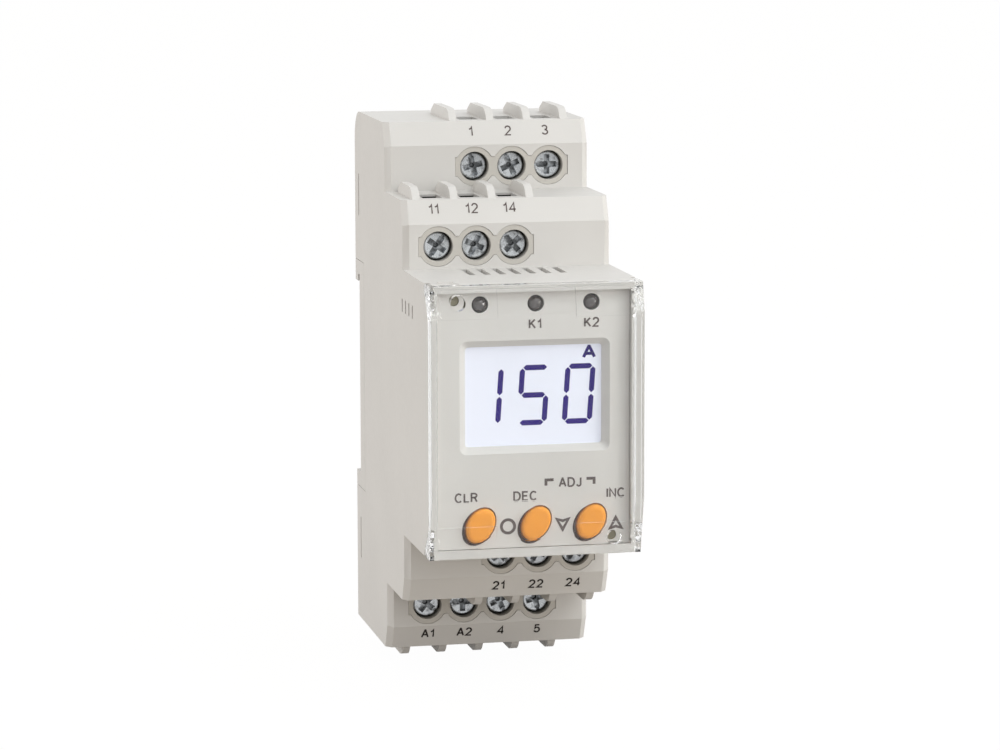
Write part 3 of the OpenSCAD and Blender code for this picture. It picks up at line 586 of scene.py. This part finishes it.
# Words on the facia: their places from the housing's middle and their heights, in millimetres
FACIA_LINE = 0.29 * MM
FACIA_WIDE = 1.08
FACIA_WORDS = {
    "lamp_1": ("K1", 0.3, 15.9, 1.7),
    "lamp_2": ("K2", 9.85, 15.9, 1.7),
    "clear": ("CLR", -11.4, -12.8, 1.68),
    "minus": ("DEC", -1.4, -12.85, 1.68),
    "plus": ("INC", 14.0, -12.85, 1.68),
    "adjust": ("ADJ", 6.2, -10.8, 1.68),
}
# Symbols beside the buttons: their places from the housing's middle in millimetres, their sizes, and the
# width of their lines, which the brackets have too
SYMBOL_PLACES = {"ring": (-4.35, -17.75), "down": (4.95, -17.75), "up": (14.0, -17.85)}
SYMBOL_LINE = 0.48 * MM
RING_R = 1.12 * MM
ARROW_HALF_W = 1.0 * MM
ARROW_HALF_H = 0.88 * MM
ARROW_NOTCH = 0.32 * MM
# Two brackets about a word: their middle and how far aside of it either is, in millimetres, and their legs
BRACKETS_AT = (6.2, -10.3)
BRACKET_ASIDE = 4.1
BRACKET_RUN = 1.3 * MM
BRACKET_DROP = 0.95 * MM


def arrow(way):
    """An outlined arrow head that points up or down, with a notched base."""
    base = -way * ARROW_HALF_H
    notch = -way * (ARROW_HALF_H - ARROW_NOTCH)
    return [(0, way * ARROW_HALF_H), (-ARROW_HALF_W, base), (0, notch), (ARROW_HALF_W, base)]


def mark_facia():
    """Words, symbols and brackets on the facia."""
    for key, (words, x, z, cap) in FACIA_WORDS.items():
        letters("mark_" + key, words, front_place("facia", x, z), cap * MM, FACIA_LINE, PRINT_GREY,
                wide=FACIA_WIDE)
    symbols = {"ring": ring(RING_R), "down": arrow(-1), "up": arrow(1)}
    for key, points in symbols.items():
        place = front_place("facia", *SYMBOL_PLACES[key])
        flat_mesh("mark_" + key, [stroke(points, SYMBOL_LINE)], place, PRINT_GREY)
    middle_x, top_z = BRACKETS_AT
    for i, side in enumerate((-1, 1), start=1):
        corner = [(0, -BRACKET_DROP), (0, 0), (-side * BRACKET_RUN, 0)]
        place = front_place("facia", middle_x + side * BRACKET_ASIDE, top_z)
        flat_mesh(f"mark_bracket_{i}", [stroke(corner, SYMBOL_LINE, closed=False)], place, PRINT_GREY)


# Oval seats of the buttons in the facia, and the shift of the painted shadow at their lower left
SEAT_LEN = 6.5 * MM
SEAT_W = 4.9 * MM
SEAT_TILT = math.radians(55)
SEAT_SIDES = 48
SEAT_SHADOW_SHIFT = Vector((-0.4, -0.22)) * MM


def paint_seat_shadows():
    """A painted shadow, a dark crescent, at the lower left of each button's seat."""
    turn = Matrix.Rotation(SEAT_TILT, 2)
    rim = [turn @ Vector((x * SEAT_LEN / 2, y * SEAT_W / 2)) for x, y in ring(1, SEAT_SIDES)]
    # Edges of the rim that look the way of the shift, from the first one on
    runs = [b - a for a, b in zip(rim, rim[1:] + rim[:1])]
    shown = [run.y * SEAT_SHADOW_SHIFT.x - run.x * SEAT_SHADOW_SHIFT.y > 0 for run in runs]
    first = next(i for i, seen in enumerate(shown) if seen and not shown[i - 1])
    edge = [rim[(first + i) % len(rim)] for i in range(sum(shown) + 1)]
    crescent = band([(p, p + SEAT_SHADOW_SHIFT) for p in edge])
    for name in ("reset", "down", "up"):
        low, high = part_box(name + "_button")
        middle_x, middle_z = (low.x + high.x) / 2, (low.z + high.z) / 2
        place = front_place("facia", middle_x / MM, (middle_z - MIDDLE_Z) / MM)
        flat_mesh(f"seat_{name}", [crescent], place, PAINTED_SEAT_SHADOW)


# Pockets for the seals: their place from the housing's middle in millimetres, and the radius and depth of
# the painted shade disc in each
SEAL_PLACE = (13.3, 20.0)
SEAL_R = 0.88 * MM
SEAL_SHADE_DEPTH = 0.2 * MM


def shade_seal_pockets():
    """Olive discs of painted shade, a little inside the two pockets that the seal's wire goes through."""
    x, z = SEAL_PLACE
    for i, side in enumerate((-1, 1), start=1):
        place = front_place("facia", side * x, -side * z)
        place.translation.y += SEAL_SHADE_DEPTH
        flat_mesh(f"seal_shade_{i}", [plate(ring(SEAL_R))], place, SEAL_POCKET_SHADE)


# Seven-segment reading on the display, with places from the housing's middle in millimetres
SEGMENTS = {"0": "abcdef", "1": "bc", "5": "acdfg"}
READING = (("1", -7.55), ("5", 0.3), ("0", 8.0))
READING_Z = 3.8
DIGIT_W = 4.25 * MM
DIGIT_H = 9.2 * MM
DIGIT_BAR = 0.88 * MM
DIGIT_GAP = 0.12 * MM
DIGIT_SLANT = 0.07
UNIT_PLACE = (9.75, 10.75)
UNIT_CAP = 2.3 * MM
UNIT_LINE = 0.52 * MM
UNIT_WIDE = 1.5


def digit(value):
    """Bars of a digit about its middle, slanted to the right."""
    w, h, t = DIGIT_W / 2, DIGIT_H / 2, DIGIT_BAR / 2
    ends = {"a": ((-w, h), (w, h)), "b": ((w, h), (w, 0)), "c": ((w, 0), (w, -h)),
            "d": ((-w, -h), (w, -h)), "e": ((-w, 0), (-w, -h)), "f": ((-w, h), (-w, 0)),
            "g": ((-w, 0), (w, 0))}
    shapes = []
    for key in SEGMENTS[value]:
        a, b = (Vector(p) for p in ends[key])
        along = (b - a).normalized()
        side = Vector((-along.y, along.x)) * t
        a, b = a + along * DIGIT_GAP, b - along * DIGIT_GAP
        a_neck, b_neck = a + along * t, b - along * t
        bar = [a, a_neck - side, b_neck - side, b, b_neck + side, a_neck + side]
        shapes.append(plate([(p.x + DIGIT_SLANT * p.y, p.y) for p in bar]))
    return shapes


def mark_display():
    """The digits of the reading, and its unit."""
    for i, (value, x) in enumerate(READING, start=1):
        flat_mesh(f"digit_{i}", digit(value), front_place("lcd_panel", x, READING_Z), PRINT_INDIGO)
    letters("digit_unit", "A", front_place("lcd_panel", *UNIT_PLACE), UNIT_CAP, UNIT_LINE, PRINT_INDIGO,
            UNIT_WIDE)


# The clip's way down
CLIP_TRAVEL = 3 * MM


def coil_spring():
    """The clip's spring, as an object of its own in spring steel on the relay's body."""
    node = frame["nodes"]["clip_spring"]
    coil = new_object("spring_coil", node.data.copy())
    coil.matrix_world = node.matrix_world
    put(coil, "relay", MATERIALS["spring_steel"])
    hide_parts("clip_spring")
    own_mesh(coil)


# Room: the strength of its fill, and the strength that gloss meets in front of the object. Behind the
# object gloss meets white, and it turns from one to the other between these limits along Y, of a
# direction in the world and of a place on the floor
WORLD_FILL = 0.75
ROOM_FRONT = 0.4
WORLD_TURN = (-0.5, 0.4)
FLOOR_TURN = (-0.3, 0.1)
# Floor: its size and colour, the share of its own shade that the camera sees, and its glow to the camera
FLOOR_SIZE = 6
FLOOR_COLOUR = (0.43, 0.39, 0.345, 1)
FLOOR_SHADOW = 0.05
FLOOR_GLOW = 1.035


def camera_rays(tree, add):
    """1 for rays from the camera, straight or through glass, and 1 for those that gloss sends on."""
    path = add("ShaderNodeLightPath").outputs
    fresh = unset(tree, path["Diffuse Depth"])
    through = combine(tree, "MULTIPLY", path["Is Transmission Ray"], fresh)
    gloss = combine(tree, "MULTIPLY", path["Is Glossy Ray"], fresh)
    seen = combine(tree, "MAXIMUM", path["Is Camera Ray"], through)
    return seen, combine(tree, "MULTIPLY", gloss, unset(tree, path["Is Transmission Ray"]))


def room_level(add, along, front, back):
    """The strength that gloss meets: grey in front of the object and white behind it."""
    room = add("ShaderNodeMapRange", Value=along, From_Min=front, From_Max=back, To_Min=ROOM_FRONT)
    return room.outputs["Result"]


def make_world():
    """White to the camera, white behind and grey in front to gloss, and a plain fill otherwise."""
    world = bpy.data.worlds.new("studio")
    scene.world = world
    world.use_nodes = True
    tree = world.node_tree
    add = node_maker(tree)
    seen, gloss = camera_rays(tree, add)
    along = axes(add, add("ShaderNodeTexCoord").outputs["Generated"])["Y"]
    room = add("ShaderNodeMix", Factor=gloss, A=WORLD_FILL, B=room_level(add, along, *WORLD_TURN))
    level = add("ShaderNodeMix", Factor=seen, A=room.outputs["Result"], B=1.0)
    set_inputs(tree, tree.nodes["Background"], Strength=level.outputs["Result"], Color=(1, 1, 1, 1))


def make_floor():
    """A floor under the pulled clip, white to the camera but for a trace of the object's shadow."""
    clip_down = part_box("rail_clip")[0].z - CLIP_TRAVEL
    bpy.ops.mesh.primitive_plane_add(size=FLOOR_SIZE, location=(0, 0, min(cad_box[0].z, clip_down)))
    floor = bpy.context.object
    floor.name = "floor"
    mat, tree, shader, add = new_material("floor")
    set_inputs(tree, shader, Base_Color=FLOOR_COLOUR, Roughness=1.0, Specular_IOR_Level=0.0)
    seen, gloss = camera_rays(tree, add)
    along = axes(add, object_coords(add))["Y"]
    level = add("ShaderNodeMix", Factor=gloss, A=FLOOR_GLOW, B=room_level(add, along, *FLOOR_TURN))
    glow = add("ShaderNodeEmission", Strength=level.outputs["Result"])
    shown = combine(tree, "MULTIPLY", combine(tree, "MAXIMUM", seen, gloss), 1 - FLOOR_SHADOW)
    end_in_mix(tree, add, shown, shader.outputs["BSDF"], glow.outputs["Emission"])
    floor.data.materials.append(mat)


# Soft boxes: place, size, power in watts and colour, and the place that all of them aim at
COOL = (0.93, 0.98, 1)
WARM = (1, 0.973, 0.937)
LAMPS = {
    "key_box": ((0.37, -0.54, 0.77), (0.6, 0.6), 3.85, COOL),
    "left_box": ((-0.9, 0.1, 0.3), (0.5, 0.7), 2.7, WARM),
    "right_box": ((0.85, -0.5, 0.02), (0.4, 0.5), 5.1, WARM),
}
LAMP_AIM = Vector((0, -0.03, 0))


def make_lamps():
    """Soft boxes about the object."""
    for name, (place, size, power, colour) in LAMPS.items():
        lamp = bpy.data.lights.new(name, "AREA")
        lamp.color = colour
        lamp.shape = "RECTANGLE"
        lamp.size, lamp.size_y = size
        lamp.energy = power
        obj = new_object(name, lamp)
        obj.location = place
        obj.rotation_euler = (LAMP_AIM - Vector(place)).to_track_quat("-Z", "Y").to_euler()


# Camera at the photograph's viewing angle, with its lens and sensor in millimetres
CAMERA_AT = (-0.134891, -0.676851, 0.102507)
CAMERA_YAW = math.radians(11.911)
CAMERA_PITCH = math.radians(8.515)
CAMERA_ROLL = math.radians(-0.115)
CAMERA_LENS = 138.44
CAMERA_SENSOR = 36


def make_camera():
    """The camera that the scene renders from."""
    ahead = Vector((math.sin(CAMERA_YAW) * math.cos(CAMERA_PITCH),
                    math.cos(CAMERA_YAW) * math.cos(CAMERA_PITCH), -math.sin(CAMERA_PITCH)))
    level = Vector((math.cos(CAMERA_YAW), -math.sin(CAMERA_YAW), 0))
    up = level.cross(ahead)
    right = math.cos(CAMERA_ROLL) * level + math.sin(CAMERA_ROLL) * up
    up = right.cross(ahead)
    data = bpy.data.cameras.new("camera")
    data.sensor_width = CAMERA_SENSOR
    data.lens = CAMERA_LENS
    camera = new_object("camera", data)
    camera.matrix_world = Matrix((right, up, -ahead)).transposed().to_4x4()
    camera.location = CAMERA_AT
    scene.camera = camera


scene.view_settings.view_transform = "Standard"
dress_nodes()
soften_edges()
label_rows()
mark_facia()
paint_seat_shadows()
shade_seal_pockets()
mark_display()
coil_spring()
make_world()
make_floor()
make_lamps()
make_camera()
